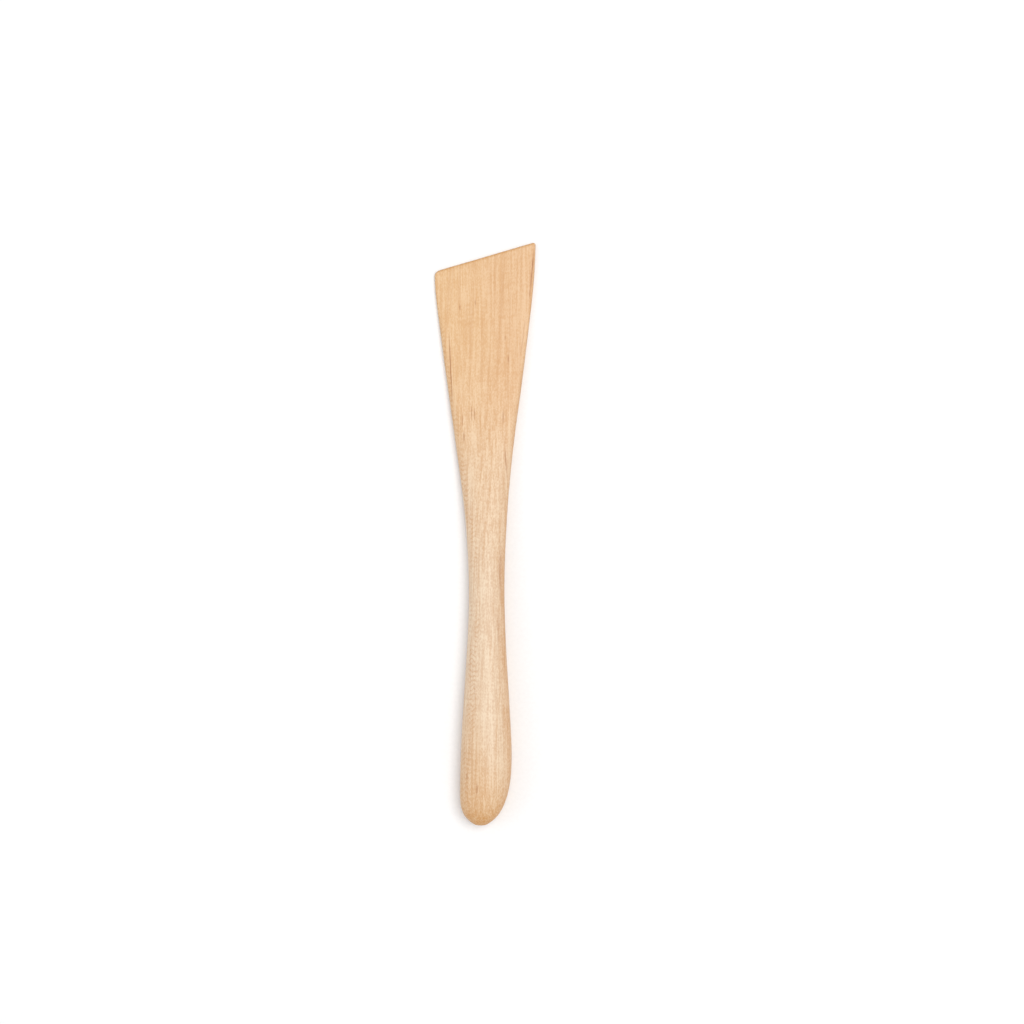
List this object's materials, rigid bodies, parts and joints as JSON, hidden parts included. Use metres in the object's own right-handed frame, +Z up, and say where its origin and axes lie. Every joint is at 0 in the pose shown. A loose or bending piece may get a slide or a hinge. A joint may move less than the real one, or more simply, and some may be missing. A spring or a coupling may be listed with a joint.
{
  "type": "clay modeling tool",
  "caption": "Wooden clay modeling paddle: a flat blade with a slanted working edge narrows to a slim waist and swells into a rounded, slightly skewed handle.",
  "frame": {"origin": "under the middle of the tool, on the surface that its flat back and the handle's underside rest on", "axes": "+Y from the handle's rounded end to the blade's working edge; +X across the blade, towards the side where the slanted edge is highest; +Z up, out of the blade's face"},
  "size_m": [0.035, 0.2032, 0.0127],
  "materials": {
    "maple": "fine-sanded bare maple with a soft satin sheen, straight fine grain and a little ray fleck"
  },
  "bodies": {
    "root": {"maple_body": "maple"}
  },
  "joints": []
}
